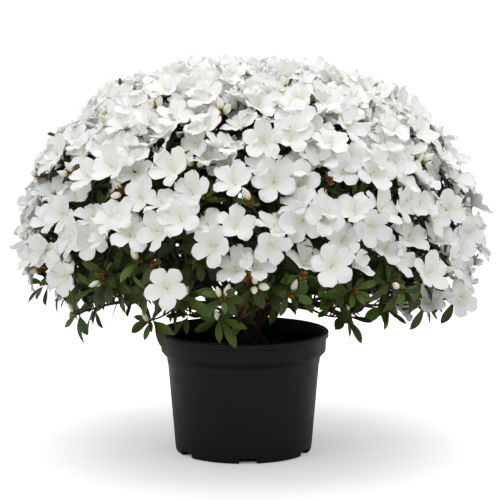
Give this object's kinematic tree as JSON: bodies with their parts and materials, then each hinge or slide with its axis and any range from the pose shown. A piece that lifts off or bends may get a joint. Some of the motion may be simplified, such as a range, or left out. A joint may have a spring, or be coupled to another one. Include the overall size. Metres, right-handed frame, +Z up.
{
  "type": "potted azalea shrub",
  "caption": "Low domed evergreen azalea in full white bloom, with leafy lower shoots, short forked trunk and boughs, growing in a black plastic nursery pot.",
  "frame": {"origin": "centre of the pot's flat underside, on the surface the plant stands on", "axes": "+Z up along the pot's axis, -Y towards the front, +X to the right as seen from the front"},
  "size_m": [0.7038, 0.7005, 0.5835],
  "materials": {
    "pot_plastic": "satin",
    "potting_mix": "matte",
    "bark": "matte",
    "blossom": "matte",
    "leafage": "satin"
  },
  "bodies": {
    "root": {"pot": "pot_plastic", "soil": "potting_mix", "trunk": "bark", "top_bough": "bark", "shoulder_1_bough": "bark", "shoulder_2_bough": "bark", "shoulder_3_bough": "bark", "shoulder_4_bough": "bark", "shoulder_5_bough": "bark", "shoulder_6_bough": "bark", "flank_1_bough": "bark", "flank_2_bough": "bark", "flank_3_bough": "bark", "flank_4_bough": "bark", "flank_5_bough": "bark", "flank_6_bough": "bark", "skirt_1_bough": "bark", "skirt_2_bough": "bark", "skirt_3_bough": "bark", "skirt_4_bough": "bark", "skirt_5_bough": "bark", "skirt_6_bough": "bark", "top_mass": "blossom", "shoulder_1_mass": "blossom", "shoulder_2_mass": "blossom", "shoulder_3_mass": "blossom", "shoulder_4_mass": "blossom", "shoulder_5_mass": "blossom", "shoulder_6_mass": "blossom", "flank_1_mass": "blossom", "flank_2_mass": "blossom", "flank_3_mass": "blossom", "flank_4_mass": "blossom", "flank_5_mass": "blossom", "flank_6_mass": "blossom", "skirt_1_mass": "leafage", "skirt_2_mass": "leafage", "skirt_3_mass": "leafage", "skirt_4_mass": "leafage", "skirt_5_mass": "leafage", "skirt_6_mass": "leafage"}
  },
  "joints": []
}
